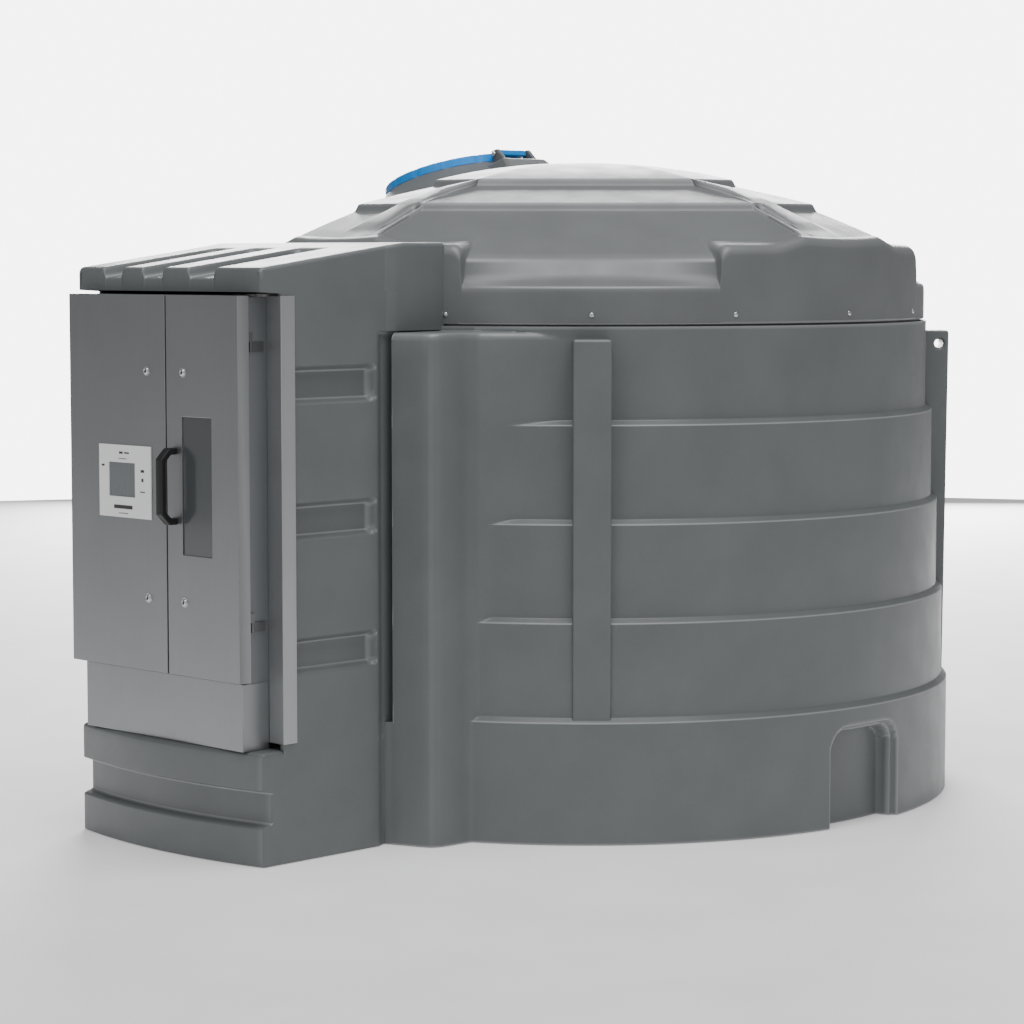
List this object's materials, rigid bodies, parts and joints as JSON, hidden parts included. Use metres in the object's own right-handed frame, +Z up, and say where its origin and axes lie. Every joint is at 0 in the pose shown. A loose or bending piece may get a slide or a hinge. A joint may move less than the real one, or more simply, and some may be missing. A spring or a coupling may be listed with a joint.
{
  "type": "vertical storage tank",
  "caption": "Round vertical plastic storage tank with a domed cover, hinged filling hatch and a steel dispensing cabinet with double doors on a moulded plinth.",
  "frame": {"origin": "on the tank's upright axis, at ground level", "axes": "+Z up, the cabinet faces -Y, +X to the right of someone who stands in front of the cabinet"},
  "size_m": [2.23, 2.8303, 1.9235],
  "materials": {
    "body_plastic": "fine grained, satin",
    "cover_plastic": "fine grained, satin",
    "lid_plastic": "satin",
    "steel": "satin",
    "inner_steel": "satin",
    "handle_plastic": "satin",
    "glass": "gloss",
    "faceplate": "satin",
    "screen_glass": "gloss",
    "hinge_steel": "satin"
  },
  "bodies": {
    "tank": {"bay_back_wall": "body_plastic", "bay_wall_left": "body_plastic", "bay_wall_right": "body_plastic", "enclosure_back": "inner_steel", "enclosure_floor": "inner_steel", "enclosure_side_left": "inner_steel", "enclosure_side_right": "inner_steel", "enclosure_top": "inner_steel", "flange_left": "steel", "flange_right": "steel", "hatch_bracket_far": "cover_plastic", "hatch_bracket_near": "cover_plastic", "hatch_pin": "hinge_steel", "hinge_left_lower": "hinge_steel", "hinge_left_upper": "hinge_steel", "hinge_right_lower": "hinge_steel", "hinge_right_upper": "hinge_steel", "housing_roof": "body_plastic", "housing_side_left": "body_plastic", "housing_side_right": "body_plastic", "lower_panel": "steel", "plinth": "body_plastic", "rib_back_left": "body_plastic", "rib_back_right": "body_plastic", "rib_front_left": "body_plastic", "rib_front_right": "body_plastic", "rim_ring": "body_plastic", "tank_floor": "body_plastic", "top_cover": "cover_plastic", "wall_back": "body_plastic", "wall_front_left": "body_plastic", "wall_front_right": "body_plastic", "wall_left": "body_plastic", "wall_right": "body_plastic"},
    "left_door": {"left_door": "steel", "display_panel": "faceplate", "display_screen": "screen_glass", "knuckle_left_lower": "hinge_steel", "knuckle_left_upper": "hinge_steel"},
    "right_door": {"right_door": "steel", "window_pane": "glass", "door_handle": "handle_plastic", "knuckle_right_lower": "hinge_steel", "knuckle_right_upper": "hinge_steel"},
    "hatch_lid": {"hatch_lid": "lid_plastic"}
  },
  "joints": [
    {"name": "left_door_hinge", "type": "hinge", "parent": "tank", "child": "left_door", "pos_m": [-0.345, -1.608, 0.98], "axis": [0, 0, -1], "range_deg": [0, 110]},
    {"name": "right_door_hinge", "type": "hinge", "parent": "tank", "child": "right_door", "pos_m": [0.345, -1.608, 0.98], "axis": [0, 0, 1], "range_deg": [0, 110]},
    {"name": "hatch_lid_hinge", "type": "hinge", "parent": "tank", "child": "hatch_lid", "pos_m": [-0.29958, 0, 1.90827], "axis": [0, 1, 0], "range_deg": [0, 100]}
  ]
}
